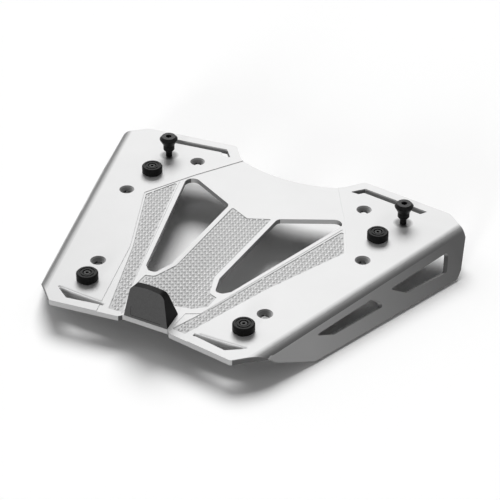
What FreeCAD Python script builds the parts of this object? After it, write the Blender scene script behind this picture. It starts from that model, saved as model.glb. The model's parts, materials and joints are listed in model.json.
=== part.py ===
"""Top case mounting plate for a motorcycle rear rack.

Deck coordinates: x = 0 is the symmetry plane, y = 0 the rear corners, +Y forward, z = 0 the top of the deck.
Each piece is modelled there and carried by one home placement, which puts the origin below the middle of the
plate at the height of the lowest edge.
"""
import FreeCAD, Part
import math
import os

import Sketcher

from FreeCAD import Placement, Rotation, Vector

SIZES = {
    # sheet and its folded sides
    "sheet": 5.0,
    "bend_outer": 10.0,
    "plate_length": 282.2,
    "plate_width": 336.2,
    "side_wide_y": 257.1,
    "side_taper": 15.64,
    "side_flare": 28.1,
    "side_depth": 33.3,
    "side_rise": 2.62,
    "side_front_y": 228.0,
    "side_corner_y": 236.2,
    "side_corner_z": 28.7,
    "side_end_y": 256.5,
    "side_end_z": 8.0,
    # outline of the deck, right half
    "front_middle_y": 253.2,
    "front_arc": 125.0,
    "front_arc_half": 40.0,
    "hollow_x": 50.0,
    "hollow_round": 20.0,
    "horn_x": 64.9,
    "horn_round": 5.0,
    "shoulder_inset": 17.1,
    "shoulder_y": 271.3,
    "shoulder_round": 12.0,
    "front_corner_inset": 3.8,
    "front_corner_y": 259.8,
    "front_corner_round": 8.0,
    "front_end_slope": 24.6,
    "rear_corner_x": 83.2,
    "rear_corner_round": 3.0,
    "rear_chamfer_angle": 44.2,
    "rear_middle_x": 23.5,
    "rear_middle_y": 8.0,
    "rear_notch_x": 20.5,
    "rear_notch_y": 11.5,
    "rear_notch_round": 2.0,
    # cut-away at the rear end of each side
    "tail_low_y": 60.1,
    "tail_high_y": 26.4,
    "tail_high_z": 10.5,
    "tail_tip_y": 24.0,
    "tail_tip_z": 6.6,
    "tail_end_y": 14.0,
    "tail_end_z": 5.2,
    "tail_round": 3.0,
    # windows in the sides
    "window_top": 9.5,
    "window_round": 2.4,
    "window_tip_round": 0.8,
    "window_depth": 12.0,
    "rear_window_start": 71.0,
    "rear_window_end": 136.7,
    "rear_window_low_start": 88.1,
    "rear_window_low_end": 148.3,
    "rear_window_drop": 7.1,
    "rear_window_end_drop": 9.8,
    "front_window_start": 158.5,
    "front_window_end": 232.2,
    "front_window_top": 10.8,
    "front_window_low_start": 172.7,
    "front_window_low_end": 221.0,
    "front_window_drop": 9.6,
    "front_window_end_drop": 13.2,
    # long cut-outs in the deck
    "cutout_inner_front_x": 23.6,
    "cutout_inner_front_y": 193.2,
    "cutout_outer_front_x": 80.9,
    "cutout_outer_front_y": 222.9,
    "cutout_outer_rear_x": 40.2,
    "cutout_outer_rear_y": 80.0,
    "cutout_nose_outer_x": 35.0,
    "cutout_nose_inner_x": 28.2,
    "cutout_nose_y": 74.3,
    "cutout_inner_rear_x": 22.6,
    "cutout_inner_rear_y": 92.0,
    "cutout_inner_round": 6.0,
    "cutout_outer_round": 7.0,
    "cutout_nose_round": 4.0,
    # strap slots
    "front_slot_tail_x": 60.2,
    "front_slot_tail_y": 261.8,
    "front_slot_tail_width": 8.0,
    "front_slot_bend_x": 69.8,
    "front_slot_bend_y": 272.7,
    "front_slot_tip_x": 132.6,
    "front_slot_tip_y": 264.6,
    "front_slot_end_x": 128.8,
    "front_slot_width": 6.8,
    "front_slot_round": 0.8,
    "rear_slot_inner_x": 41.5,
    "rear_slot_inner_y": 14.5,
    "rear_slot_inner_width": 2.0,
    "rear_slot_outer_x": 87.0,
    "rear_slot_outer_y": 18.8,
    "rear_slot_point_x": 73.0,
    "rear_slot_point_y": 9.2,
    "rear_slot_round": 0.8,
    "rear_slot_ramp": 3.6,
    "rear_slot_ramp_reach": 1.0,
    # lowered middle field, its tread fields and the border groove
    "field_step": 0.5,
    "crease_front_x": 50.0,
    "crease_front_y": 259.0,
    "crease_middle_x": 74.6,
    "crease_middle_y": 219.7,
    "crease_rear_x": 98.8,
    "crease_rear_y": 174.7,
    "field_waist_x": 66.0,
    "field_waist_y": 97.0,
    "field_rear_x": 37.8,
    "strip_front_x": 81.6,
    "strip_front_y": 203.5,
    "strip_inner_x": 37.2,
    "strip_inner_y": 53.7,
    "strip_tail_x": 22.8,
    "strip_tail_y": 14.5,
    "middle_front_x": 19.2,
    "middle_front_y": 190.8,
    "middle_notch_y": 181.7,
    "middle_flank_x": 18.0,
    "middle_wing_x": 33.6,
    "middle_wing_front_y": 67.6,
    "middle_wing_rear_y": 53.0,
    "middle_tail_x": 23.5,
    "middle_tail_y": 45.0,
    "middle_rear_x": 12.0,
    "middle_rear_y": 41.8,
    "tread_depth": 0.6,
    "tread_round": 1.5,
    "tread_margin": 2.4,
    "groove_width": 0.9,
    "groove_depth": 0.35,
    "groove_start_x": 22.6,
    "groove_start_y": 12.5,
    "groove_latch_y": 36.6,
    "groove_turn_x": 33.2,
    "groove_turn_y": 42.6,
    "groove_knee_x": 40.5,
    "groove_knee_y": 68.3,
    "groove_end_x": 80.2,
    "groove_end_y": 205.0,
    # mounting holes, countersunk for M6
    "screw_hole": 6.6,
    "screw_sink": 13.0,
    "hole_rear_x": 78.4,
    "hole_rear_y": 66.2,
    "hole_middle_x": 114.8,
    "hole_middle_y": 171.3,
    "hole_front_x": 83.0,
    "hole_front_y": 241.5,
    # rubber pads
    "pad_rear_x": 72.6,
    "pad_rear_y": 38.2,
    "pad_front_x": 110.8,
    "pad_front_y": 205.7,
    "pad_diameter": 18.2,
    "pad_height": 8.0,
    "pad_shift": 1.7,
    "pad_foot_chamfer": 1.6,
    "pad_top_chamfer": 1.0,
    "pad_ring_outer": 6.5,
    "pad_ring_inner": 5.4,
    "pad_ring_depth": 0.6,
    "pad_well_diameter": 7.6,
    "pad_well_depth": 2.6,
    # small screws and nuts
    "small_thread": 4.0,
    "small_bore": 4.4,
    "small_pilot": 4.1,
    "small_head": 6.8,
    "small_head_height": 2.2,
    "small_head_chamfer": 0.6,
    "small_socket": 2.5,
    "small_socket_depth": 1.3,
    "small_nut_across": 7.0,
    "small_nut_height": 3.2,
    "thread_fit": 0.1,
    "thread_excess": 1.2,
    # studs
    "stud_spacing": 232.4,
    "stud_shift": 5.0,
    "stud_y": 238.9,
    "stud_thread": 5.8,
    "stud_bore": 6.1,
    "stud_waist_height": 5.0,
    "stud_neck": 10.2,
    "stud_neck_foot": 7.2,
    "stud_neck_foot_height": 1.8,
    "stud_neck_top": 11.5,
    "stud_head": 16.2,
    "stud_head_low": 16.8,
    "stud_head_edge": 1.0,
    "stud_face": 12.4,
    "stud_height": 20.0,
    "stud_chamfer": 0.6,
    "stud_socket": 5.0,
    "stud_socket_depth": 3.5,
    "stud_washer": 12.0,
    "stud_washer_height": 1.6,
    "stud_nut_across": 10.0,
    "stud_nut_height": 5.0,
    # moulded block on the rear edge
    "latch_rear_y": 11.8,
    "latch_front_y": 33.5,
    "latch_half_rear": 20.0,
    "latch_half_front": 17.4,
    "latch_half_top_rear": 15.6,
    "latch_half_top_front": 13.0,
    "latch_shoulder": 27.8,
    "latch_peak": 29.6,
    "latch_peak_round": 40.0,
    "latch_corner": 6.0,
    "latch_top_rear_y": 16.3,
    "latch_top_front_y": 22.0,
    "latch_panel_half": 14.0,
    "latch_panel_low": 2.0,
    "latch_panel_high": 10.5,
    "latch_panel_peak": 12.5,
    "latch_panel_depth": 0.4,
    "latch_panel_round": 1.0,
    "latch_cavity_half": 12.6,
    "latch_cavity_rear": 16.6,
    "latch_cavity_front": 26.4,
    "latch_cavity_height": 15.0,
    "latch_boss": 7.6,
    "latch_pilot_depth": 9.0,
    "latch_screw_x": 8.2,
    "latch_screw_y": 21.5,
    "latch_screw_reach": 8.0,
    "latch_washer": 9.0,
    "latch_washer_height": 0.8,
    # steel strip inside the block
    "bracket_sheet": 2.0,
    "bracket_gap": 0.3,
    "bracket_tongue": 7.6,
    "bracket_height": 12.0,
}

os.makedirs("parts", exist_ok=True)

doc = FreeCAD.newDocument("top_case_mounting_plate")
sheet = doc.addObject("Spreadsheet::Sheet", "Sizes")
for row, (alias, value) in enumerate(SIZES.items(), start=1):
    sheet.set(f"A{row}", alias)
    sheet.set(f"B{row}", str(value))
    sheet.setAlias(f"B{row}", alias)
doc.recompute()


def size(alias):
    """The value of one cell of the sheet, in millimetres or degrees."""
    return float(getattr(sheet, alias))


HOME = Placement(Vector(0, -size("plate_length") / 2, size("side_depth")), Rotation())
PAST = 10.0
CLOSE = 0.01
TAPER = math.tan(math.radians(size("side_taper")))
FLARE = math.tan(math.radians(size("side_flare"))) / math.cos(math.radians(size("side_taper")))
SIDE_INSET = size("sheet") * (math.sqrt(1 + TAPER ** 2 + FLARE ** 2) - FLARE)


def side_x(y):
    """Where the right side's outer face would meet the top of the deck, at the distance y from the rear corners."""
    return size("plate_width") / 2 + TAPER * (y - size("side_wide_y"))


def side_bottom(y):
    """Bottom edge of the sides, which rises towards the rear."""
    return -size("side_depth") + math.tan(math.radians(size("side_rise"))) * (size("side_front_y") - y)


def new_body(name):
    body = doc.addObject("PartDesign::Body", name)
    body.Label = name
    body.Placement = HOME
    return body


def side_plane(sign):
    """Placement of the outer face of the right (1) or left (-1) side, with its normal pointing outwards."""
    along = Vector(sign * TAPER, 1, 0).normalize()
    normal = Vector(sign, -TAPER, FLARE).normalize()
    return Placement(Vector(sign * side_x(0), 0, 0), Rotation(along, normal.cross(along), normal, "ZXY"))


def on_side(corners, sign):
    """Corners (y, z, round) seen from the side, carried to the flared side's own plane."""
    back = side_plane(sign).inverse()
    carried = []
    for y, z, round_ in corners:
        point = back.multVec(Vector(sign * (side_x(y) - FLARE * z), y, z))
        carried.append((point.x, point.y, round_))
    return carried


def new_sketch(body, role, name, height=0.0):
    """Sketch on one of the body's origin planes, lifted along its normal by height."""
    plane = next(item for item in body.Origin.OriginFeatures if item.Role == role)
    sketch = body.newObject("Sketcher::SketchObject", name)
    sketch.AttachmentSupport = [(plane, "")]
    sketch.MapMode = "FlatFace"
    sketch.AttachmentOffset = Placement(Vector(0, 0, height), Rotation())
    return sketch


def rounded(sketch, corners):
    """Closed outline of straight edges through corners (u, v) or (u, v, round)."""
    points = [Vector(corner[0], corner[1], 0) for corner in corners]
    rounds = [corner[2] if len(corner) > 2 else 0.0 for corner in corners]
    ends = []
    for index, point in enumerate(points):
        before = (points[index - 1] - point).normalize()
        after = (points[(index + 1) % len(points)] - point).normalize()
        if rounds[index] == 0.0:
            ends.append((point, point))
            continue
        half = before.getAngle(after) / 2
        reach = rounds[index] / math.tan(half)
        start = point + before * reach
        stop = point + after * reach
        middle = (before + after).normalize()
        crown = point + middle * (rounds[index] / math.sin(half) - rounds[index])
        sketch.addGeometry(Part.Arc(start, crown, stop))
        ends.append((start, stop))
    for index in range(len(ends)):
        start = ends[index][1]
        stop = ends[(index + 1) % len(ends)][0]
        sketch.addGeometry(Part.LineSegment(start, stop))


def circle(sketch, x, y, diameter):
    """Circle whose diameter follows the named cell."""
    index = sketch.addGeometry(Part.Circle(Vector(x, y, 0), Vector(0, 0, 1), size(diameter) / 2))
    where = sketch.addConstraint(Sketcher.Constraint("Diameter", index, size(diameter)))
    sketch.setExpression(f"Constraints[{where}]", f"<<Sizes>>.{diameter}")


def mirrored(corners):
    return [(-corner[0],) + tuple(corner[1:]) for corner in reversed(corners)]


def pad(body, sketch, name, length, reverse=False, symmetric=False, taper=None):
    feature = body.newObject("PartDesign::Pad", name)
    feature.Profile = sketch
    if taper:
        feature.setExpression("TaperAngle", taper)
    feature.SideType = "Symmetric" if symmetric else "One side"
    feature.Reversed = reverse
    if isinstance(length, str):
        feature.setExpression("Length", length)
    else:
        feature.Length = length
    doc.recompute()
    return feature


def pocket(body, sketch, name, length=None, reverse=False, symmetric=False, taper=None):
    """Cut that takes something away: length is an expression, or None for a cut right through."""
    before = body.Shape.Volume
    feature = body.newObject("PartDesign::Pocket", name)
    feature.Profile = sketch
    feature.SideType = "Symmetric" if symmetric else "One side"
    feature.Reversed = reverse
    if taper:
        feature.setExpression("TaperAngle", taper)
    if length is None:
        feature.Type = "ThroughAll"
    else:
        feature.setExpression("Length", length)
    doc.recompute()
    if not body.Shape.Volume < before:
        raise ValueError(f"{name} cuts nothing")
    return feature


def revolve(body, sketch, name):
    feature = body.newObject("PartDesign::Revolution", name)
    feature.Profile = sketch
    feature.ReferenceAxis = (sketch, ["V_Axis"])
    feature.Angle = 360
    doc.recompute()
    return feature


def edges_where(feature, test):
    """Names of the feature's edges whose middle point passes the test."""
    names = []
    for index, edge in enumerate(feature.Shape.Edges, start=1):
        middle = edge.valueAt((edge.FirstParameter + edge.LastParameter) / 2)
        if test(middle, edge):
            names.append(f"Edge{index}")
    return names


def fillet(body, base, name, radius, test):
    feature = body.newObject("PartDesign::Fillet", name)
    names = edges_where(base, test)
    if not names:
        raise ValueError(f"{name} finds no edge")
    feature.Base = (base, names)
    feature.setExpression("Radius", radius)
    doc.recompute()
    return feature


def cell(alias):
    return f"<<Sizes>>.{alias}"


def side_lines(inset):
    """Space between the two sides, from beyond the rear edge to beyond the front edge."""
    rear = -2 * PAST
    front = size("plate_length") + 2 * PAST
    right = [(side_x(rear) - inset, rear), (side_x(front) - inset, front)]
    return right + mirrored(right)


def deck_outline():
    """Right half of the deck's outline, from the front middle to the rear middle, run out past the sides."""
    turn = math.asin(size("front_arc_half") / size("front_arc"))
    crown = size("front_middle_y") - size("front_arc") * (1 / math.cos(turn) - 1)
    end = math.radians(size("front_end_slope"))
    end_run = 6 * PAST
    chamfer = math.radians(size("rear_chamfer_angle"))
    chamfer_run = 9 * PAST
    shoulder_x = size("plate_width") / 2 - size("shoulder_inset")
    corner_x = size("plate_width") / 2 - size("front_corner_inset")
    return [
        (0, crown, size("front_arc")),
        (size("hollow_x"), crown + math.tan(turn) * size("hollow_x"), size("hollow_round")),
        (size("horn_x"), size("plate_length"), size("horn_round")),
        (shoulder_x, size("shoulder_y"), size("shoulder_round")),
        (corner_x, size("front_corner_y"), size("front_corner_round")),
        (corner_x + end_run * math.cos(end), size("front_corner_y") - end_run * math.sin(end)),
        (size("rear_corner_x") + chamfer_run * math.cos(chamfer), chamfer_run * math.sin(chamfer)),
        (size("rear_corner_x"), 0, size("rear_corner_round")),
        (size("rear_middle_x"), size("rear_middle_y"), size("rear_notch_round")),
        (size("rear_notch_x"), size("rear_notch_y"), size("rear_notch_round")),
    ]


def below_sides():
    """Region under the sides as seen from the right: rear cut-away, rising bottom edge, front corner."""
    low = -size("side_depth") - PAST
    rear = -3 * PAST
    front = size("plate_length") + 3 * PAST
    return [
        (rear, low),
        (rear, -size("tail_end_z")),
        (size("tail_end_y"), -size("tail_end_z")),
        (size("tail_tip_y"), -size("tail_tip_z"), size("tail_round")),
        (size("tail_high_y"), -size("tail_high_z"), size("tail_round")),
        (size("tail_low_y"), side_bottom(size("tail_low_y"))),
        (size("side_front_y"), -size("side_depth")),
        (size("side_corner_y"), -size("side_corner_z")),
        (size("side_end_y"), -size("side_end_z")),
        (front, -size("side_end_z")),
        (front, low),
    ]


def window(start, end, low_start, low_end, top, drop, end_drop):
    """Slanted window: its top is parallel to the deck and its bottom falls towards the front."""
    round_ = size("window_round")
    return [
        (start, -top, size("window_tip_round")),
        (end, -top, round_),
        (low_end, -top - end_drop, round_),
        (low_start, -top - drop, round_),
    ]


def cutout():
    """Long cut-out on the right, round at its rear nose."""
    return [
        (size("cutout_inner_front_x"), size("cutout_inner_front_y"), size("cutout_inner_round")),
        (size("cutout_outer_front_x"), size("cutout_outer_front_y"), size("cutout_outer_round")),
        (size("cutout_outer_rear_x"), size("cutout_outer_rear_y"), size("cutout_nose_round")),
        (size("cutout_nose_outer_x"), size("cutout_nose_y"), size("cutout_nose_round")),
        (size("cutout_nose_inner_x"), size("cutout_nose_y"), size("cutout_nose_round")),
        (size("cutout_inner_rear_x"), size("cutout_inner_rear_y"), size("cutout_inner_round")),
    ]


def front_slot():
    """Strap slot beside the front edge, with a short tail turned back."""
    round_ = size("front_slot_round")
    slope = (size("front_slot_tip_y") - size("front_slot_bend_y")) / (
        size("front_slot_tip_x") - size("front_slot_bend_x"))
    inner_bend = size("front_slot_bend_x") + 0.3 * size("front_slot_width")
    run = size("front_slot_end_x") - size("front_slot_bend_x")
    return [
        (size("front_slot_tail_x"), size("front_slot_tail_y"), round_),
        (size("front_slot_bend_x"), size("front_slot_bend_y"), round_),
        (size("front_slot_tip_x"), size("front_slot_tip_y"), round_),
        (size("front_slot_end_x"), size("front_slot_bend_y") + slope * run - size("front_slot_width"), round_),
        (inner_bend, size("front_slot_bend_y") - size("front_slot_width"), round_),
        (size("front_slot_tail_x") + size("front_slot_tail_width"), size("front_slot_tail_y"), round_),
    ]


def rear_slot():
    """Wedge-shaped strap slot beside the rear edge."""
    return [
        (size("rear_slot_inner_x"), size("rear_slot_inner_y"), size("rear_slot_round")),
        (size("rear_slot_inner_x"), size("rear_slot_inner_y") + size("rear_slot_inner_width"),
         size("rear_slot_round")),
        (size("rear_slot_outer_x"), size("rear_slot_outer_y"), size("rear_slot_round")),
        (size("rear_slot_point_x"), size("rear_slot_point_y"), size("rear_slot_round")),
    ]


def middle_field():
    """Right half of the lowered field between the two creases."""
    front = size("plate_length") + PAST
    crease = (size("crease_middle_x") - size("crease_front_x")) / (
        size("crease_middle_y") - size("crease_front_y"))
    return [
        (size("crease_front_x") + crease * (front - size("crease_front_y")), front),
        (size("crease_middle_x"), size("crease_middle_y")),
        (size("crease_rear_x"), size("crease_rear_y"), size("tread_round")),
        (size("field_waist_x"), size("field_waist_y")),
        (size("field_rear_x"), -PAST),
    ]


def tread_strip():
    """Right tread field, between the cut-out and the edge of the middle field."""
    margin = size("tread_margin")
    round_ = size("tread_round")
    return [
        (size("strip_front_x"), size("strip_front_y"), round_),
        (size("crease_rear_x") - margin, size("crease_rear_y") - margin / 2, round_),
        (size("field_waist_x") - margin, size("field_waist_y")),
        (size("field_rear_x") - margin, size("strip_tail_y") - margin / 2, round_),
        (size("strip_tail_x"), size("strip_tail_y"), round_),
        (size("strip_inner_x"), size("strip_inner_y"), round_),
    ]


def tread_middle():
    """Right half of the tread field between the cut-outs, which spreads behind their noses."""
    round_ = size("tread_round")
    return [
        (0, size("middle_notch_y")),
        (size("middle_front_x"), size("middle_front_y"), round_),
        (size("middle_flank_x"), size("cutout_inner_rear_y"), size("cutout_inner_round")),
        (size("cutout_nose_inner_x") - size("tread_margin"), size("middle_wing_front_y") + size("tread_margin"),
         size("cutout_nose_round")),
        (size("middle_wing_x"), size("middle_wing_front_y"), round_),
        (size("middle_wing_x"), size("middle_wing_rear_y"), round_),
        (size("middle_tail_x"), size("middle_tail_y"), round_),
        (size("middle_rear_x"), size("middle_rear_y")),
    ]


def border_groove():
    """Fine groove on the right between the rim of the cut-out and the tread strip, as a closed band."""
    route = [
        Vector(size("groove_start_x"), size("groove_start_y"), 0),
        Vector(size("groove_start_x"), size("groove_latch_y"), 0),
        Vector(size("groove_turn_x"), size("groove_turn_y"), 0),
        Vector(size("groove_knee_x"), size("groove_knee_y"), 0),
        Vector(size("groove_end_x"), size("groove_end_y"), 0),
    ]
    half = size("groove_width") / 2
    sides = ([], [])
    for index, point in enumerate(route):
        back = (point - route[index - 1]).normalize() if index else (route[1] - point).normalize()
        ahead = (route[index + 1] - point).normalize() if index + 1 < len(route) else back
        across = Vector(-back.y - ahead.y, back.x + ahead.x, 0).normalize()
        reach = half / math.cos(back.getAngle(ahead) / 2)
        sides[0].append((point.x + across.x * reach, point.y + across.y * reach))
        sides[1].append((point.x - across.x * reach, point.y - across.y * reach))
    return sides[0] + sides[1][::-1]


def screw_places():
    """Right half of the countersunk holes."""
    return [(size(f"hole_{place}_x"), size(f"hole_{place}_y")) for place in ("rear", "middle", "front")]


def pad_places():
    """Centre of each rubber pad, by name: the four stand a little to the right of the middle."""
    places = {}
    for end in ("rear", "front"):
        for side, sign in (("left", -1), ("right", 1)):
            places[f"{end}_{side}"] = (size("pad_shift") + sign * size(f"pad_{end}_x"), size(f"pad_{end}_y"))
    return places


def stud_places():
    """Centre of each stud, by name: the pair stands a little to the right of the middle."""
    middle = size("stud_shift")
    return {
        "left": (middle - size("stud_spacing") / 2, size("stud_y")),
        "right": (middle + size("stud_spacing") / 2, size("stud_y")),
    }


def latch_places():
    """Centre of each screw that holds the block, by name."""
    return {
        "left": (-size("latch_screw_x"), size("latch_screw_y")),
        "right": (size("latch_screw_x"), size("latch_screw_y")),
    }


def ramp_section(body, name, x, slot_y, reach):
    """Section of the pressed ramp at the distance x from the middle: the sheet turns down into the slot."""
    sketch = new_sketch(body, "YZ_Plane", name, x)
    ramp = size("rear_slot_ramp")
    low = -size("sheet") - 1
    crown = Vector(slot_y + ramp * (1 - math.sqrt(0.5)), ramp * (math.sqrt(0.5) - 1), 0)
    foot = Vector(slot_y, -ramp, 0)
    top = Vector(slot_y + ramp, 0, 0)
    sketch.addGeometry(Part.Arc(foot, crown, top))
    corners = [top, Vector(top.x, 1, 0), Vector(slot_y - reach, 1, 0), Vector(slot_y - reach, low, 0),
               Vector(slot_y, low, 0), foot]
    for start, stop in zip(corners, corners[1:]):
        sketch.addGeometry(Part.LineSegment(start, stop))
    return sketch


def press_ramp(body, side, sign):
    """Ramp on the forward side of one rear slot."""
    inner, outer = rear_slot()[1:3]
    first = ramp_section(body, "ramp_inner_" + side, sign * inner[0], inner[1], size("rear_slot_ramp_reach"))
    last = ramp_section(body, "ramp_outer_" + side, sign * outer[0], outer[1], size("rear_slot_ramp_reach") / 5)
    loft = body.newObject("PartDesign::SubtractiveLoft", "ramp_" + side)
    loft.Profile = first
    loft.Sections = [last]
    loft.Ruled = True
    doc.recompute()


def make_plate():
    body = new_body("plate")
    blank = new_sketch(body, "XY_Plane", "blank")
    rounded(blank, side_lines(0))
    block = pad(body, blank, "folded_block", cell("side_depth"), reverse=True, taper=cell("side_flare"))

    def outer_bend(point, edge):
        return abs(point.z) < CLOSE and abs(abs(point.x) - side_x(point.y)) < CLOSE
    fillet(body, block, "outer_bends", cell("bend_outer"), outer_bend)

    channel = new_sketch(body, "XY_Plane", "channel", -size("sheet"))
    channel.setExpression("AttachmentOffset.Base.z", "-" + cell("sheet"))
    rounded(channel, side_lines(SIDE_INSET))
    inside = pocket(body, channel, "channel_cut", cell("side_depth"), taper=cell("side_flare"))

    def inner_bend(point, edge):
        return abs(point.z + size("sheet")) < CLOSE and abs(abs(point.x) - side_x(point.y) + SIDE_INSET) < CLOSE
    fillet(body, inside, "inner_bends", cell("bend_outer") + " - " + cell("sheet"), inner_bend)

    trim = new_sketch(body, "XY_Plane", "outline")
    half = deck_outline()
    rounded(trim, half + mirrored(half[1:]))
    far = side_x(size("plate_length")) + 8 * PAST
    rounded(trim, [(far, -4 * PAST), (far, size("plate_length") + 4 * PAST),
                   (-far, size("plate_length") + 4 * PAST), (-far, -4 * PAST)])
    pocket(body, trim, "outline_cut")

    sides = new_sketch(body, "YZ_Plane", "side_profile")
    rounded(sides, below_sides())
    pocket(body, sides, "side_cut", "2 * " + cell("plate_width"), symmetric=True)

    rear_window = window(size("rear_window_start"), size("rear_window_end"), size("rear_window_low_start"),
                         size("rear_window_low_end"), size("window_top"), size("rear_window_drop"),
                         size("rear_window_end_drop"))
    front_window = window(size("front_window_start"), size("front_window_end"), size("front_window_low_start"),
                          size("front_window_low_end"), size("front_window_top"), size("front_window_drop"),
                          size("front_window_end_drop"))
    for side, sign in (("left", -1), ("right", 1)):
        windows = new_sketch(body, "XY_Plane", "windows_" + side)
        windows.AttachmentOffset = side_plane(sign)
        rounded(windows, on_side(rear_window, sign))
        rounded(windows, on_side(front_window, sign))
        pocket(body, windows, "window_cut_" + side, cell("window_depth"))

    field = new_sketch(body, "XY_Plane", "middle_field")
    half = middle_field()
    rounded(field, half + mirrored(half))
    pocket(body, field, "field_cut", cell("field_step"))

    tread = new_sketch(body, "XY_Plane", "tread_fields")
    rounded(tread, tread_strip())
    rounded(tread, mirrored(tread_strip()))
    half = tread_middle()
    rounded(tread, half + mirrored(half[1:]))
    pocket(body, tread, "tread_cut", cell("field_step") + " + " + cell("tread_depth"))

    groove = new_sketch(body, "XY_Plane", "border_grooves")
    rounded(groove, border_groove())
    rounded(groove, mirrored(border_groove()))
    pocket(body, groove, "groove_cut", cell("field_step") + " + " + cell("groove_depth"))

    openings = new_sketch(body, "XY_Plane", "openings")
    for shape in (cutout(), front_slot(), rear_slot()):
        rounded(openings, shape)
        rounded(openings, mirrored(shape))
    for x, y in pad_places().values():
        circle(openings, x, y, "small_bore")
    for x, y in stud_places().values():
        circle(openings, x, y, "stud_bore")
    for x, y in latch_places().values():
        circle(openings, x, y, "small_bore")
    pocket(body, openings, "opening_cut")
    for side, sign in (("left", -1), ("right", 1)):
        press_ramp(body, side, sign)

    centres = new_sketch(body, "XY_Plane", "screw_centres")
    for x, y in screw_places():
        circle(centres, x, y, "screw_hole")
        circle(centres, -x, y, "screw_hole")
    holes = body.newObject("PartDesign::Hole", "screw_holes")
    holes.Profile = centres
    holes.DepthType = "ThroughAll"
    holes.setExpression("Diameter", cell("screw_hole"))
    holes.HoleCutType = "Countersink"
    holes.HoleCutCustomValues = True
    holes.setExpression("HoleCutDiameter", cell("screw_sink"))
    holes.HoleCutCountersinkAngle = 90
    doc.recompute()
    return body


def at(body, x, y, z=0.0):
    """Put a body that is modelled about its own axis at a place on the deck."""
    body.Placement = HOME * Placement(Vector(x, y, z), Rotation())


def turned(name, profile):
    """Body turned about its axis from corners (radius, height, round)."""
    body = new_body(name)
    sketch = new_sketch(body, "XZ_Plane", "profile_" + name)
    rounded(sketch, profile)
    revolve(body, sketch, "turned_" + name)
    return body


def hexagon(sketch, across):
    corner = across / 2 / math.cos(math.pi / 6)
    rounded(sketch, [(corner * math.cos(math.pi / 3 * step), corner * math.sin(math.pi / 3 * step))
                     for step in range(6)])


def hex_socket(body, name, top, across, depth, upwards=False):
    """Hexagon socket, cut down from top or up from it."""
    sketch = new_sketch(body, "XY_Plane", "socket_" + name, top)
    hexagon(sketch, size(across))
    pocket(body, sketch, "socket_cut_" + name, cell(depth), reverse=upwards)


def make_rubber_pad(name, x, y):
    height = size("pad_height")
    well = height - size("pad_well_depth")
    ring = height - size("pad_ring_depth")
    outer = size("pad_diameter") / 2
    body = turned(name, [
        (size("small_bore") / 2, 0),
        (outer - size("pad_foot_chamfer"), 0),
        (outer, size("pad_foot_chamfer")),
        (outer, height - size("pad_top_chamfer")),
        (outer - size("pad_top_chamfer"), height),
        (size("pad_ring_outer"), height),
        (size("pad_ring_outer"), ring),
        (size("pad_ring_inner"), ring),
        (size("pad_ring_inner"), height),
        (size("pad_well_diameter") / 2, height),
        (size("pad_well_diameter") / 2, well),
        (size("small_bore") / 2, well),
    ])
    at(body, x, y)


def make_pad_screw(name, x, y):
    seat = size("pad_height") - size("pad_well_depth")
    top = seat + size("small_head_height")
    tip = -size("sheet") - size("small_nut_height") - size("thread_excess")
    body = turned(name, [
        (0, tip),
        (size("small_thread") / 2, tip),
        (size("small_thread") / 2, seat),
        (size("small_head") / 2, seat),
        (size("small_head") / 2, top - size("small_head_chamfer")),
        (size("small_head") / 2 - size("small_head_chamfer"), top),
        (0, top),
    ])
    hex_socket(body, name, top, "small_socket", "small_socket_depth")
    at(body, x, y)


def make_nut(name, x, y, z, across, height, bore):
    """Hexagon nut whose top face is at z."""
    body = new_body(name)
    sketch = new_sketch(body, "XY_Plane", "profile_" + name)
    hexagon(sketch, size(across))
    inner = sketch.addGeometry(Part.Circle(Vector(0, 0, 0), Vector(0, 0, 1), (size(bore) + size("thread_fit")) / 2))
    where = sketch.addConstraint(Sketcher.Constraint("Diameter", inner, size(bore) + size("thread_fit")))
    sketch.setExpression(f"Constraints[{where}]", cell(bore) + " + " + cell("thread_fit"))
    pad(body, sketch, "block_" + name, cell(height), reverse=True)
    at(body, x, y, z)


def make_washer(name, x, y, z, diameter, height, bore):
    """Flat washer whose top face is at z."""
    body = new_body(name)
    sketch = new_sketch(body, "XY_Plane", "profile_" + name)
    circle(sketch, 0, 0, diameter)
    circle(sketch, 0, 0, bore)
    pad(body, sketch, "ring_" + name, cell(height), reverse=True)
    at(body, x, y, z)


def make_stud(name, x, y):
    chamfer = size("stud_chamfer")
    foot = size("stud_waist_height")
    tip = -size("sheet") - size("stud_washer_height") - size("stud_nut_height") - size("thread_excess")
    body = turned(name, [
        (0, tip),
        (size("stud_thread") / 2 - chamfer, tip),
        (size("stud_thread") / 2, tip + chamfer),
        (size("stud_thread") / 2, foot),
        (size("stud_neck_foot") / 2, foot),
        (size("stud_neck") / 2, foot + size("stud_neck_foot_height")),
        (size("stud_neck") / 2, size("stud_neck_top")),
        (size("stud_head") / 2, size("stud_head_low")),
        (size("stud_head") / 2, size("stud_head_low") + size("stud_head_edge")),
        (size("stud_face") / 2, size("stud_height")),
        (0, size("stud_height")),
    ])
    hex_socket(body, name, size("stud_height"), "stud_socket", "stud_socket_depth")
    at(body, x, y)


def latch_section(body, name, y, half, half_top):
    """Cross-section of the block at the distance y from the rear corners."""
    sketch = new_sketch(body, "XZ_Plane", name, -y)
    rounded(sketch, [
        (-half, 0),
        (half, 0),
        (half_top, size("latch_shoulder"), size("latch_corner")),
        (0, size("latch_peak"), size("latch_peak_round")),
        (-half_top, size("latch_shoulder"), size("latch_corner")),
    ])
    return sketch


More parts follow.
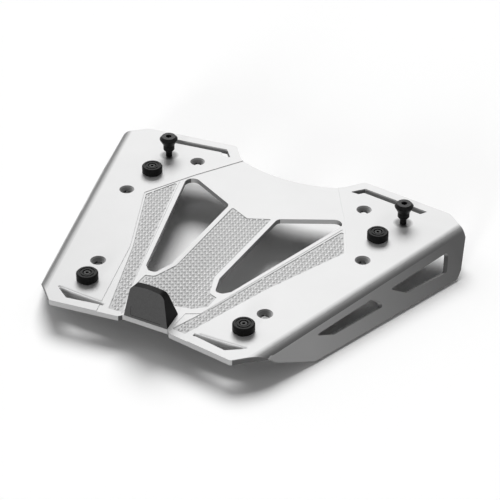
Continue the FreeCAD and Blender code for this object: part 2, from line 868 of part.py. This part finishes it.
def make_latch_cover():
    """Moulded block: tapered sides, arched top, leaning rear face, sloping front, hollow from below."""
    body = new_body("latch_cover")
    loft = body.newObject("PartDesign::AdditiveLoft", "block")
    loft.Profile = latch_section(body, "rear_section", size("latch_rear_y"), size("latch_half_rear"),
                                 size("latch_half_top_rear"))
    loft.Sections = [latch_section(body, "front_section", size("latch_front_y"), size("latch_half_front"),
                                   size("latch_half_top_front"))]
    loft.Ruled = True
    doc.recompute()

    high = size("latch_peak")
    rear_lean = size("latch_top_rear_y") - size("latch_rear_y")
    front_lean = size("latch_front_y") - size("latch_top_front_y")
    slopes = new_sketch(body, "YZ_Plane", "slopes")
    rounded(slopes, [
        (size("latch_rear_y"), 0),
        (size("latch_rear_y") + 2 * rear_lean, 2 * high),
        (size("latch_rear_y") - PAST, 2 * high),
        (size("latch_rear_y") - PAST, 0),
    ])
    rounded(slopes, [
        (size("latch_front_y"), 0),
        (size("latch_front_y") + PAST, 0),
        (size("latch_front_y") + PAST, 2 * high),
        (size("latch_front_y") - 2 * front_lean, 2 * high),
    ])
    pocket(body, slopes, "slope_cut", "4 * " + cell("latch_half_rear"), symmetric=True)

    panel = new_sketch(body, "XZ_Plane", "rear_panel")
    lean = math.degrees(math.atan(rear_lean / high))
    panel.AttachmentOffset = Placement(Vector(0, 0, -size("latch_rear_y")), Rotation(Vector(1, 0, 0), -lean))
    rounded(panel, [
        (-size("latch_panel_half"), size("latch_panel_low"), size("latch_panel_round")),
        (size("latch_panel_half"), size("latch_panel_low"), size("latch_panel_round")),
        (size("latch_panel_half"), size("latch_panel_high"), size("latch_panel_round")),
        (0, size("latch_panel_peak"), size("latch_peak_round")),
        (-size("latch_panel_half"), size("latch_panel_high"), size("latch_panel_round")),
    ])
    pocket(body, panel, "panel_cut", cell("latch_panel_depth"))

    cavity = new_sketch(body, "XY_Plane", "cavity")
    half = size("latch_cavity_half")
    rounded(cavity, [
        (-half, size("latch_cavity_rear")),
        (half, size("latch_cavity_rear")),
        (half, size("latch_cavity_front")),
        (-half, size("latch_cavity_front")),
    ])
    pocket(body, cavity, "cavity_cut", cell("latch_cavity_height"), reverse=True)

    seat = cell("bracket_sheet") + " + " + cell("bracket_gap")
    bosses = new_sketch(body, "XY_Plane", "bosses")
    bosses.setExpression("AttachmentOffset.Base.z", seat)
    pilots = new_sketch(body, "XY_Plane", "pilots")
    pilots.setExpression("AttachmentOffset.Base.z", seat)
    for x, y in latch_places().values():
        circle(bosses, x, y, "latch_boss")
        circle(pilots, x, y, "small_pilot")
    pad(body, bosses, "boss_pad", cell("latch_cavity_height") + " - " + seat.replace(" + ", " - "))
    pocket(body, pilots, "pilot_cut", cell("latch_pilot_depth"), reverse=True)
    at(body, 0, 0, -size("field_step"))


def make_catch_bracket():
    """Steel strip inside the block: a foot under the bosses and a tongue turned up between them."""
    body = new_body("catch_bracket")
    half = size("latch_cavity_half") - size("bracket_gap")
    rear = size("latch_cavity_rear") + size("bracket_gap")
    front = size("latch_cavity_front") - size("bracket_gap")
    tongue = size("bracket_tongue") / 2
    foot = new_sketch(body, "XY_Plane", "foot")
    rounded(foot, [
        (-half, rear),
        (half, rear),
        (half, front),
        (-half, front),
    ])
    for x, y in latch_places().values():
        circle(foot, x, y, "small_bore")
    pad(body, foot, "foot_pad", cell("bracket_sheet"))
    upright = new_sketch(body, "XY_Plane", "upright")
    rounded(upright, [
        (-tongue, rear),
        (tongue, rear),
        (tongue, rear + size("bracket_sheet")),
        (-tongue, rear + size("bracket_sheet")),
    ])
    pad(body, upright, "tongue_pad", cell("bracket_height"))
    at(body, 0, 0, -size("field_step"))


def make_latch_screw(name, x, y):
    """Screw from below: head under the deck, point inside the block's boss."""
    seat = -size("sheet") - size("latch_washer_height")
    low = seat - size("small_head_height")
    tip = size("bracket_sheet") + size("bracket_gap") - size("field_step") + size("latch_screw_reach")
    body = turned(name, [
        (0, low),
        (size("small_head") / 2 - size("small_head_chamfer"), low),
        (size("small_head") / 2, low + size("small_head_chamfer")),
        (size("small_head") / 2, seat),
        (size("small_thread") / 2, seat),
        (size("small_thread") / 2, tip),
        (0, tip),
    ])
    hex_socket(body, name, low, "small_socket", "small_socket_depth", upwards=True)
    at(body, x, y)


make_plate()
under = -size("sheet")
for place, (x, y) in pad_places().items():
    make_rubber_pad("pad_" + place, x, y)
    make_pad_screw("pad_screw_" + place, x, y)
    make_nut("pad_nut_" + place, x, y, under, "small_nut_across", "small_nut_height", "small_thread")
for side, (x, y) in stud_places().items():
    make_stud("stud_" + side, x, y)
    make_washer("stud_washer_" + side, x, y, under, "stud_washer", "stud_washer_height", "stud_bore")
    make_nut("stud_nut_" + side, x, y, under - size("stud_washer_height"), "stud_nut_across",
             "stud_nut_height", "stud_thread")
make_latch_cover()
make_catch_bracket()
for side, (x, y) in latch_places().items():
    make_washer("latch_washer_" + side, x, y, under, "latch_washer", "latch_washer_height", "small_bore")
    make_latch_screw("latch_screw_" + side, x, y)

doc.recompute()
for item in doc.Objects:
    if {"Invalid", "Error"} & set(item.State):
        raise ValueError(f"{item.Name} is {item.State}")
pieces = [item for item in doc.Objects if item.TypeId == "PartDesign::Body"]
for piece in pieces:
    if piece.Shape.isNull() or not piece.Shape.isValid() or len(piece.Shape.Solids) != 1:
        raise ValueError(f"{piece.Label} is not one valid solid")
for piece in pieces:
    piece.Shape.exportStep("parts/" + piece.Label + ".step")
    print(piece.Label, round(piece.Shape.Volume))
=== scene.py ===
"""Looks of the top case mounting plate: finish, tread bumps, floor, light and camera."""
import json
import math

import bmesh
import bpy
from mathutils import Matrix, Vector
from mathutils.bvhtree import BVHTree

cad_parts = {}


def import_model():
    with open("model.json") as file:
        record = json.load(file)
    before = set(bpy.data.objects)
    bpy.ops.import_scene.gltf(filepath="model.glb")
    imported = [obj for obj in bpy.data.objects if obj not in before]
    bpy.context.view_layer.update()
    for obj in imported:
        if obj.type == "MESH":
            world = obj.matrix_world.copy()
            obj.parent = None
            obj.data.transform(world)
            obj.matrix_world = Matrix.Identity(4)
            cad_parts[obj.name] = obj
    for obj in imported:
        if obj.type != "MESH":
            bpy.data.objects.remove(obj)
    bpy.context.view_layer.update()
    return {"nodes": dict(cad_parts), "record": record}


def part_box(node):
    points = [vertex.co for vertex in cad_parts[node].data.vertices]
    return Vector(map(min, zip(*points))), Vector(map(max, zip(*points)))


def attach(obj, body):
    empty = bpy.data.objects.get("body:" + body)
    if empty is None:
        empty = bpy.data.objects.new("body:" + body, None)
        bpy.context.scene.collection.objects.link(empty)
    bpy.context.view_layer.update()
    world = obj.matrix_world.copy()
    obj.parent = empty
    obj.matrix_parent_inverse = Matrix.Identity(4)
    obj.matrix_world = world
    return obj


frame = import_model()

MM = 0.001
WHITE = (1, 1, 1, 1)

# The frame: the deck's top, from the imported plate, and the plate's rear corners.
_, plate_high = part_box("plate")
DECK_TOP = plate_high[2]
DECK_REAR = -141.1 * MM

# The deck's sheet, and the steps down from its top to the tread floor.
SHEET = 5.0 * MM
FIELD_STEP = 0.5 * MM
TREAD_DEPTH = 0.6 * MM
TREAD_LEVEL = DECK_TOP - FIELD_STEP - TREAD_DEPTH

# How far from a level a surface may lie and still count as being on it.
TREAD_SLACK = 0.05 * MM
TOP_SLACK = 0.01 * MM
SHEET_SLACK = 0.1 * MM

# Tread bumps, in millimetres: rounded bumps on a hexagonal lattice. The middle of each, out to BUMP_FIT, has to lie
# on a tread field, which is probed from above the deck.
BUMP_HEIGHT = 1.0
BUMP_RADIUS = 2.15
BUMP_PITCH = 4.85
BUMP_ROW_START = 4.55
BUMP_FIT = 0.45 * BUMP_RADIUS
BUMP_FOOT_SINK = 0.01
PROBE_HEIGHT = 5.0

# Sides and rings of a bump's mesh, and the lattice's columns to each side of the middle and its rows.
BUMP_SIDES = 12
BUMP_RINGS = 3
LATTICE_COLUMNS = 24
LATTICE_ROWS = 44

# Round these places the colour carries painted shade: dark countersinks and a contact shadow at each foot.
# Countersunk holes of the right half, and feet of the studs, which stand in a dark contact shadow on the photograph.
# All are in millimetres from the plate's middle and its rear corners.
SINK_PLACES = ((78.4, 66.2), (114.8, 171.3), (83.0, 241.5))
SINK_RADIUS = 6.6
FOOT_PLACES = ((-111.2, 238.9), (121.2, 238.9))
FOOT_REACH = 9.0

# Tones of the aluminium as (position, grey) stops. Those of the deck, the tread and the end faces are colours, as the
# rear edge's is, and the others multiply them. Apart from the deck's mottle, the rest is painted shade and painted
# light.
DECK_TONES = ((0.3, 0.600), (0.7, 0.628))
# Painted shade and highlight of the tread: its floor and the feet of the bumps darker, the bump tops pale.
TREAD_PAINTED_SHADE_TONES = ((0.05, 0.40), (0.50, 0.95))
# Painted shade on the front walls of the cut-outs and slots, darker on the left ones.
END_FACE_PAINTED_SHADE_TONES = ((0.27, 0.34), (0.73, 0.62))
# Painted shade: the deck darker towards the left rear, where its reflection is dimmer.
LEFT_REAR_PAINTED_SHADE_TONES = ((0.0, 0.86), (1.0, 1.0))
# Painted shade: surfaces that do not face up are a little darker.
UPRIGHT_PAINTED_SHADE_TONES = ((0.0, 0.84), (0.9, 1.0))
# Painted shade of the sides, the bends and the flanks of the cut-outs, by how far they face right or left.
RIGHT_PAINTED_SHADE_TONES = ((0.03, 1.0), (0.25, 0.78), (0.50, 0.44), (0.72, 0.24), (0.78, 0.22), (0.82, 0.25))
LEFT_PAINTED_SHADE_TONES = ((0.03, 1.0), (0.20, 0.72), (0.45, 0.28), (0.70, 0.12), (0.78, 0.14), (0.81, 0.75))
# Painted shade of the countersinks, with painted reflection making the flanks that face left lighter.
SINK_PAINTED_SHADE_TONES = ((0.0, 0.18), (0.6, 0.34))
# Painted contact shadow round the feet of the studs.
FOOT_PAINTED_SHADOW_TONES = ((0.48, 0.02), (0.70, 0.20), (1.0, 1.0))
# Painted light on the rear edge, which catches light from the bright floor in front of it.
REAR_EDGE_PAINTED_LIGHT = (0.82, 0.82, 0.82, 1)

# Tones of the other materials.
RUBBER_TONES = ((0.3, 0.004), (0.7, 0.009))
BLACK_STEEL_TONES = ((0.35, 0.006), (0.7, 0.014))
ZINC_TONES = ((0.3, 0.42), (0.7, 0.60))
BLOCK_TONES = ((0.3, 0.004), (0.7, 0.008))
BLOCK_REAR_TONES = ((0.3, 0.145), (0.7, 0.168))

# Where the tones apply: a sum of x and y and two places along y, in metres, and facings from -1 to 1.
CORNER_REACH = (-0.22, -0.03)
# Reach along y of the painted light that makes the right side lighter to the rear.
SIDE_PAINTED_LIGHT_REACH = (0.10, -0.08)
REAR_STRIP = 30.0 * MM
STEP_FACING = (-0.3, 0.85)
SIDE_FACING = 0.79
END_FACING = (-1.1, -0.75)
BLOCK_REAR_FACING = -0.93

# Edges of the pieces, softly broken where they are sharper than this angle.
BROKEN_EDGE = 0.35 * MM
BROKEN_EDGE_SEGMENTS = 2
SHARP_ANGLE = math.radians(35)

# The bottom edges of the sides rise towards the rear, and the floor lies parallel to them and just below.
SIDE_RISE = math.radians(2.62)
SIDE_FRONT_Y = 228.0 * MM
FLOOR_GAP = 2.0 * MM
FLOOR_SIZE = 12.0
FLOOR_ROUGHNESS = 0.9

# How bright the floor and the surroundings are where they only throw light, and where they are seen.
FLOOR_TONES = ((0.0, 0.06), (1.0, 0.995))
WORLD_STRENGTHS = (0.15, 1.0)

# Lamps: direction that the light comes from, its strength, and its width in degrees.
LAMPS = {
    "key": ((-0.33, 0.57, 0.76), 2.90, 36.0),
    "left_fill": ((-0.80, 0.20, 0.55), 0.45, 50.0),
    "rear_fill": ((0.12, -0.97, 0.20), 1.15, 10.0),
}

CAMERA_AZIMUTH = math.radians(28.1)
CAMERA_ELEVATION = math.radians(34.43)
CAMERA_ROLL = math.radians(0.25)
CAMERA_PLACE = (610.0, -955.1, 850.8)
CAMERA_LENS = 129.24
CAMERA_SENSOR = 36.0


def deck(x, y, z=0.0):
    """Point given from the rear corners and the deck's top, in millimetres."""
    return Vector((x * MM, DECK_REAR + y * MM, DECK_TOP + z * MM))


# Nodes of the materials

def new_material(name):
    """New node material, its node tree and its Principled shader."""
    material = bpy.data.materials.new(name)
    material.use_nodes = True
    tree = material.node_tree
    return material, tree, tree.nodes["Principled BSDF"]


def feed(tree, socket, value):
    """Give a socket a link where the value is another node's output, and else the value itself."""
    if isinstance(value, bpy.types.NodeSocket):
        tree.links.new(value, socket)
    else:
        socket.default_value = value


def noise(tree, scale, detail):
    """Noise in object coordinates, from 0 to 1."""
    coordinates = tree.nodes.new("ShaderNodeTexCoord")
    texture = tree.nodes.new("ShaderNodeTexNoise")
    texture.inputs["Scale"].default_value = scale
    texture.inputs["Detail"].default_value = detail
    tree.links.new(coordinates.outputs["Object"], texture.inputs["Vector"])
    return texture.outputs["Fac"]


def spread(tree, value, low, high, start=0.0, end=1.0):
    """Map the range start to end of a value to the range low to high, and hold it there."""
    node = tree.nodes.new("ShaderNodeMapRange")
    for name, number in (("From Min", start), ("From Max", end), ("To Min", low), ("To Max", high)):
        node.inputs[name].default_value = number
    tree.links.new(value, node.inputs["Value"])
    return node.outputs["Result"]


def grey_ramp(tree, value, stops):
    """Colour ramp of greys: stops are (position, grey)."""
    ramp = tree.nodes.new("ShaderNodeValToRGB")
    while len(ramp.color_ramp.elements) < len(stops):
        ramp.color_ramp.elements.new(0.5)
    for element, (position, grey) in zip(ramp.color_ramp.elements, stops):
        element.position = position
        element.color = (grey, grey, grey, 1)
    tree.links.new(value, ramp.inputs["Fac"])
    return ramp.outputs["Color"]


def part_of(tree, vector, axis):
    """One axis of a vector."""
    parts = tree.nodes.new("ShaderNodeSeparateXYZ")
    tree.links.new(vector, parts.inputs["Vector"])
    return parts.outputs[axis]


def facing(tree, axis):
    """How far the surface faces along one of the object's own axes, from -1 to 1."""
    return part_of(tree, tree.nodes.new("ShaderNodeTexCoord").outputs["Normal"], axis)


def placed(tree, axis):
    """The surface's place along one of the object's own axes, in metres."""
    return part_of(tree, tree.nodes.new("ShaderNodeTexCoord").outputs["Object"], axis)


def compute(tree, operation, first, second=0.0):
    """Result of a math node, whose two inputs are links or numbers."""
    node = tree.nodes.new("ShaderNodeMath")
    node.operation = operation
    feed(tree, node.inputs[0], first)
    feed(tree, node.inputs[1], second)
    return node.outputs["Value"]


def between(tree, value, low, high):
    """1 where a value lies between two limits and 0 elsewhere."""
    above = compute(tree, "GREATER_THAN", value, low)
    below = compute(tree, "LESS_THAN", value, high)
    return compute(tree, "MULTIPLY", above, below)


def distance(tree, vector, point):
    """Distance from a node's vector to a fixed point."""
    node = tree.nodes.new("ShaderNodeVectorMath")
    node.operation = "DISTANCE"
    tree.links.new(vector, node.inputs[0])
    node.inputs[1].default_value = point
    return node.outputs["Value"]


def mixed(tree, factor, first, second, kind="MIX"):
    """Two colours mixed or multiplied."""
    node = tree.nodes.new("ShaderNodeMix")
    node.data_type = "RGBA"
    node.blend_type = kind
    feed(tree, node.inputs["Factor"], factor)
    feed(tree, node.inputs["A"], first)
    feed(tree, node.inputs["B"], second)
    return [output for output in node.outputs if output.type == "RGBA"][0]


def times(tree, first, second):
    """Two colours multiplied."""
    return mixed(tree, 1.0, first, second, "MULTIPLY")


def grained(name, scale, roughness, relief=0.0, depth=0.0, detail=3.0, specular=None, metallic=0.0):
    """New material whose roughness, and relief where it has one, follow a fine grain."""
    material, tree, shader = new_material(name)
    grain = noise(tree, scale, detail)
    tree.links.new(spread(tree, grain, *roughness), shader.inputs["Roughness"])
    shader.inputs["Metallic"].default_value = metallic
    if specular is not None:
        shader.inputs["Specular IOR Level"].default_value = specular
    if relief:
        bump = tree.nodes.new("ShaderNodeBump")
        bump.inputs["Strength"].default_value = relief
        bump.inputs["Distance"].default_value = depth
        tree.links.new(grain, bump.inputs["Height"])
        tree.links.new(bump.outputs["Normal"], shader.inputs["Normal"])
    return material, tree, shader, grain


# Materials

def in_sinks(tree):
    """1 inside the countersunk holes of both halves and 0 elsewhere."""
    folded = tree.nodes.new("ShaderNodeCombineXYZ")
    tree.links.new(compute(tree, "ABSOLUTE", placed(tree, "X")), folded.inputs["X"])
    tree.links.new(placed(tree, "Y"), folded.inputs["Y"])
    inside = 0.0
    for x, y in SINK_PLACES:
        away = distance(tree, folded.outputs["Vector"], (x * MM, DECK_REAR + y * MM, 0))
        inside = compute(tree, "MAXIMUM", compute(tree, "LESS_THAN", away, SINK_RADIUS * MM), inside)
    return inside


def from_feet(tree):
    """How far the surface lies from the nearest foot of a stud: 0 at its middle, 1 at its reach and beyond."""
    place = tree.nodes.new("ShaderNodeTexCoord").outputs["Object"]
    nearest = 1.0
    for x, y in FOOT_PLACES:
        share = compute(tree, "DIVIDE", distance(tree, place, deck(x, y)), FOOT_REACH * MM)
        nearest = compute(tree, "MINIMUM", share, nearest)
    return nearest


def deck_colour_and_painted_light(tree, raised):
    """Mottled deck; painted shade to the left rear and on the tread floor; painted highlight on bump tops and steps.
    """
    height = placed(tree, "Z")
    colour = grey_ramp(tree, noise(tree, scale=18.0, detail=3.0), DECK_TONES)
    # Painted shade on the tread floor and the feet of the bumps, painted highlight on the bump tops.
    in_tread = 1.0 if raised else between(tree, height, TREAD_LEVEL - TREAD_SLACK, TREAD_LEVEL + TREAD_SLACK)
    above_tread = spread(tree, height, 0.0, 1.0, TREAD_LEVEL, TREAD_LEVEL + BUMP_HEIGHT * MM)
    colour = mixed(tree, in_tread, colour, grey_ramp(tree, above_tread, TREAD_PAINTED_SHADE_TONES))
    # Painted shade: darker towards the left rear, where the deck's reflection is dimmer.
    corner = compute(tree, "ADD", placed(tree, "X"), placed(tree, "Y"))
    left_rear = spread(tree, corner, 0.0, 1.0, *CORNER_REACH)
    colour = times(tree, colour, grey_ramp(tree, left_rear, LEFT_REAR_PAINTED_SHADE_TONES))
    if raised:
        return colour
    # Painted highlight: white on the steps round the fields and the tops of the cut-outs' walls.
    near_top = between(tree, height, TREAD_LEVEL - TREAD_SLACK, DECK_TOP - TOP_SLACK)
    painted_step_highlight = compute(tree, "MULTIPLY", near_top, between(tree, facing(tree, "Z"), *STEP_FACING))
    return mixed(tree, painted_step_highlight, colour, WHITE)


def painted_side_shade(tree):
    """Painted shade of what faces left or right, lighter to the rear of the right side; the sinks have their own."""
    rightward = facing(tree, "X")
    leftward = compute(tree, "MULTIPLY", rightward, -1.0)
    # Painted shade by how far a surface faces right or left.
    right_painted_shade = grey_ramp(tree, rightward, RIGHT_PAINTED_SHADE_TONES)
    left_painted_shade = grey_ramp(tree, leftward, LEFT_PAINTED_SHADE_TONES)
    # Painted light: the right side is made lighter towards the rear, where it reflects more light.
    rearward = spread(tree, placed(tree, "Y"), 0.0, 1.0, *SIDE_PAINTED_LIGHT_REACH)
    on_right_side = compute(tree, "GREATER_THAN", rightward, SIDE_FACING)
    right_painted_shade = mixed(tree, compute(tree, "MULTIPLY", on_right_side, rearward), right_painted_shade, WHITE)
    # Painted shade and painted reflection in the countersinks.
    sink_painted_shade = grey_ramp(tree, leftward, SINK_PAINTED_SHADE_TONES)
    return mixed(tree, in_sinks(tree), times(tree, left_painted_shade, right_painted_shade), sink_painted_shade)


def with_painted_end_faces(tree, colour):
    """Rear-facing faces of the sheet: painted light on the rear edge, painted shade on cut-out and slot front walls.
    """
    in_sheet = between(tree, placed(tree, "Z"), DECK_TOP - SHEET - SHEET_SLACK, DECK_TOP + SHEET_SLACK)
    on_end_face = compute(tree, "MULTIPLY", in_sheet, between(tree, facing(tree, "Y"), *END_FACING))
    # Painted light on the rear edge, within a strip at the rear.
    at_rear = compute(tree, "LESS_THAN", placed(tree, "Y"), DECK_REAR + REAR_STRIP)
    left_to_right = spread(tree, facing(tree, "X"), 0.0, 1.0, start=-1.0)
    # Painted shade on the front walls of the cut-outs and slots.
    end_wall_painted_shade = grey_ramp(tree, left_to_right, END_FACE_PAINTED_SHADE_TONES)
    return mixed(tree, on_end_face, colour, mixed(tree, at_rear, end_wall_painted_shade, REAR_EDGE_PAINTED_LIGHT))


def aluminium(name, raised):
    """Natural anodised aluminium, very finely grained. Raised is for the bumps, whose pale tops are painted highlight.
    """
    material, tree, shader, _ = grained(name, scale=900.0, roughness=(0.40, 0.52), relief=0.05, depth=0.2 * MM,
                                        detail=2.0)
    # The colour is the deck's mottle with painted shade, painted light and painted highlights laid on it.
    colour = times(tree, deck_colour_and_painted_light(tree, raised), painted_side_shade(tree))
    # Painted shade on surfaces that do not face up.
    colour = times(tree, colour, grey_ramp(tree, facing(tree, "Z"), UPRIGHT_PAINTED_SHADE_TONES))
    if not raised:
        colour = with_painted_end_faces(tree, colour)
        # Painted contact shadow round the feet of the studs.
        colour = times(tree, colour, grey_ramp(tree, from_feet(tree), FOOT_PAINTED_SHADOW_TONES))
    tree.links.new(colour, shader.inputs["Base Color"])
    return material


def rubber():
    """Black moulded rubber with a slight sheen."""
    material, tree, shader, grain = grained("pad_rubber", scale=500.0, roughness=(0.34, 0.46), relief=0.08,
                                            depth=0.2 * MM, specular=0.05)
    tree.links.new(grey_ramp(tree, grain, RUBBER_TONES), shader.inputs["Base Color"])
    return material


def black_steel():
    """Blackened steel: dark, satin, a little worn."""
    material, tree, shader, grain = grained("black_steel", scale=400.0, roughness=(0.28, 0.42), relief=0.05,
                                            depth=0.1 * MM, specular=0.08)
    tree.links.new(grey_ramp(tree, grain, BLACK_STEEL_TONES), shader.inputs["Base Color"])
    return material


def zinc_steel():
    """Zinc plated steel of the nuts, the washers, the bracket and the screws of the block."""
    material, tree, shader, grain = grained("zinc_steel", scale=300.0, roughness=(0.25, 0.40), metallic=0.9)
    tree.links.new(grey_ramp(tree, grain, ZINC_TONES), shader.inputs["Base Color"])
    return material


def dark_plastic():
    """Black moulded block with a dark grey rear face, both with a fine spark-eroded grain."""
    material, tree, shader, grain = grained("dark_plastic", scale=700.0, roughness=(0.42, 0.55), relief=0.12,
                                            depth=0.2 * MM, specular=0.04)
    body = grey_ramp(tree, grain, BLOCK_TONES)
    face = grey_ramp(tree, grain, BLOCK_REAR_TONES)
    rearward = compute(tree, "LESS_THAN", facing(tree, "Y"), BLOCK_REAR_FACING)
    tree.links.new(mixed(tree, rearward, body, face), shader.inputs["Base Color"])
    return material


MATERIALS = {
    "anodised_aluminium": aluminium("anodised_aluminium", raised=False),
    "tread_aluminium": aluminium("tread_aluminium", raised=True),
    "pad_rubber": rubber(),
    "black_steel": black_steel(),
    "zinc_steel": zinc_steel(),
    "dark_plastic": dark_plastic(),
}


# The object

def dress_nodes():
    """Give every CAD piece its material and softly broken edges."""
    slots = {part["node"]: part["material_slot"] for part in frame["record"]["subparts"]}
    for name, node in frame["nodes"].items():
        for slot in node.material_slots:
            slot.material = MATERIALS[slots[name]]
        bevel = node.modifiers.new("broken_edges", "BEVEL")
        bevel.width = BROKEN_EDGE
        bevel.segments = BROKEN_EDGE_SEGMENTS
        bevel.limit_method = "ANGLE"
        bevel.angle_limit = SHARP_ANGLE
        bevel.harden_normals = True


def tread_spots():
    """Places of the bumps: a hexagonal lattice, kept where a bump's middle part fits on a tread field."""
    tree = BVHTree.FromObject(frame["nodes"]["plate"], bpy.context.evaluated_depsgraph_get())
    column = BUMP_PITCH * math.sqrt(3) / 2
    quarters = [quarter * math.pi / 2 for quarter in range(4)]

    def on_floor(x, y):
        hit = tree.ray_cast(deck(x, y, PROBE_HEIGHT), Vector((0, 0, -1)))[0]
        return hit is not None and abs(hit.z - TREAD_LEVEL) < TREAD_SLACK

    spots = []
    for step in range(-LATTICE_COLUMNS, LATTICE_COLUMNS + 1):
        x = step * column
        start = BUMP_ROW_START - (BUMP_PITCH / 2 if step % 2 else 0)
        for row in range(LATTICE_ROWS):
            y = start + row * BUMP_PITCH
            around = [(x + BUMP_FIT * math.cos(turn), y + BUMP_FIT * math.sin(turn)) for turn in quarters]
            if all(on_floor(*spot) for spot in [(x, y)] + around):
                spots.append((x, y))
    return spots


def tread_bumps():
    """Low rounded bumps on the tread fields, as one mesh."""
    mesh = bpy.data.meshes.new("tread_bumps")
    shape = bmesh.new()
    foot = -(FIELD_STEP + TREAD_DEPTH) / MM
    turns = [2 * math.pi * side / BUMP_SIDES for side in range(BUMP_SIDES)]
    for x, y in tread_spots():
        rings = []
        for ring in range(BUMP_RINGS):
            share = 1 - ring / BUMP_RINGS
            reach = BUMP_RADIUS * share
            height = foot + BUMP_HEIGHT * 0.5 * (1 + math.cos(math.pi * share)) - BUMP_FOOT_SINK
            rings.append([shape.verts.new(deck(x + reach * math.cos(turn), y + reach * math.sin(turn), height))
                          for turn in turns])
        crown = shape.verts.new(deck(x, y, foot + BUMP_HEIGHT))
        for outer, inner in zip(rings, rings[1:]):
            for side in range(BUMP_SIDES):
                after = (side + 1) % BUMP_SIDES
                shape.faces.new((outer[side], outer[after], inner[after], inner[side]))
        for side in range(BUMP_SIDES):
            shape.faces.new((rings[-1][side], rings[-1][(side + 1) % BUMP_SIDES], crown))
    for face in shape.faces:
        face.smooth = True
    shape.to_mesh(mesh)
    shape.free()
    bumps = bpy.data.objects.new("tread_bumps", mesh)
    bpy.context.collection.objects.link(bumps)
    mesh.materials.append(MATERIALS["tread_aluminium"])
    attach(bumps, "root")


# The stage

def seen_directly(tree):
    """1 where a surface is seen by the camera, in gloss or through glass, and 0 where it only throws light."""
    path = tree.nodes.new("ShaderNodeLightPath")
    camera_or_gloss = compute(tree, "MAXIMUM", path.outputs["Is Camera Ray"], path.outputs["Is Glossy Ray"])
    return compute(tree, "MAXIMUM", camera_or_gloss, path.outputs["Is Transmission Ray"])


def floor():
    """Pale floor just below the bottom edges of the sides."""
    half = FLOOR_SIZE / 2
    mesh = bpy.data.meshes.new("floor")
    mesh.from_pydata([(-half, -half, 0), (half, -half, 0), (half, half, 0), (-half, half, 0)], [], [(0, 1, 2, 3)])
    ground = bpy.data.objects.new("floor", mesh)
    bpy.context.collection.objects.link(ground)
    front = Matrix.Translation((0, DECK_REAR + SIDE_FRONT_Y, -FLOOR_GAP))
    ground.matrix_world = front @ Matrix.Rotation(-SIDE_RISE, 4, "X")
    material, tree, shader = new_material("floor")
    shader.inputs["Roughness"].default_value = FLOOR_ROUGHNESS
    shader.inputs["Specular IOR Level"].default_value = 0.0
    tree.links.new(grey_ramp(tree, seen_directly(tree), FLOOR_TONES), shader.inputs["Base Color"])
    mesh.materials.append(material)


def world():
    """White surroundings for the camera and for gloss, dim for the light itself."""
    surroundings = bpy.data.worlds.new("studio")
    bpy.context.scene.world = surroundings
    surroundings.use_nodes = True
    tree = surroundings.node_tree
    background = tree.nodes["Background"]
    background.inputs["Color"].default_value = WHITE
    tree.links.new(spread(tree, seen_directly(tree), *WORLD_STRENGTHS), background.inputs["Strength"])


def lights():
    """Far lamps with soft edges."""
    for name, (towards, strength, width) in LAMPS.items():
        data = bpy.data.lights.new(name, "SUN")
        data.energy = strength
        data.angle = math.radians(width)
        lamp = bpy.data.objects.new(name, data)
        bpy.context.collection.objects.link(lamp)
        lamp.rotation_euler = Vector(towards).to_track_quat("Z", "Y").to_euler()


def camera():
    """Camera at the photograph's place and angle."""
    data = bpy.data.cameras.new("camera")
    data.sensor_width = CAMERA_SENSOR
    data.lens = CAMERA_LENS
    eye = bpy.data.objects.new("camera", data)
    bpy.context.collection.objects.link(eye)
    back = Vector((math.sin(CAMERA_AZIMUTH) * math.cos(CAMERA_ELEVATION),
                   -math.cos(CAMERA_AZIMUTH) * math.cos(CAMERA_ELEVATION),
                   math.sin(CAMERA_ELEVATION)))
    level = (-back).cross(Vector((0, 0, 1))).normalized()
    upright = level.cross(-back)
    right = level * math.cos(CAMERA_ROLL) + upright * math.sin(CAMERA_ROLL)
    up = upright * math.cos(CAMERA_ROLL) - level * math.sin(CAMERA_ROLL)
    turn = Matrix((right, up, back)).transposed().to_4x4()
    eye.matrix_world = Matrix.Translation(deck(*CAMERA_PLACE)) @ turn
    bpy.context.scene.camera = eye


tread_bumps()
dress_nodes()
floor()
world()
lights()
camera()
bpy.context.scene.view_settings.view_transform = "Standard"
